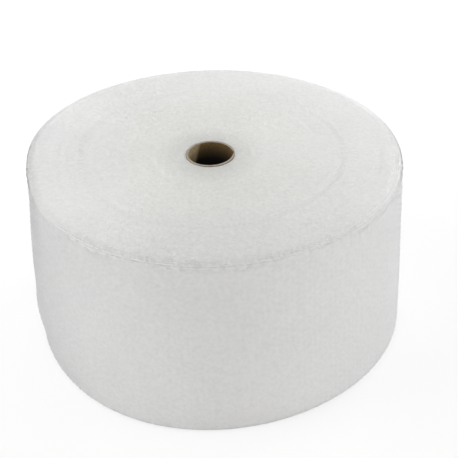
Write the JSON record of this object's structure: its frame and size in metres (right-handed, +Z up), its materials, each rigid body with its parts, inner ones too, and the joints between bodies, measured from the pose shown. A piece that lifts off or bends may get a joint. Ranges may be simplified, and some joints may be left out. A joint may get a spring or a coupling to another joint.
{
  "type": "bubble wrap roll",
  "caption": "Wide, short roll of clear small-bubble cushioning film wound on a cardboard core, standing on its end, for wrapping goods for post and storage.",
  "frame": {"origin": "on the core's axis, in the plane that the roll stands on", "axes": "+Z up along the core's axis, out of the top end; -Y towards the side that the picture shows; the film's outer end is on the +Y side"},
  "size_m": [0.5951, 0.5968, 0.301],
  "materials": {
    "bubble_film": "clear film, milky in the roll",
    "cardboard_core": "plain kraft board"
  },
  "bodies": {
    "root": {"bubble_film": "bubble_film", "cardboard_core": "cardboard_core"}
  },
  "joints": []
}
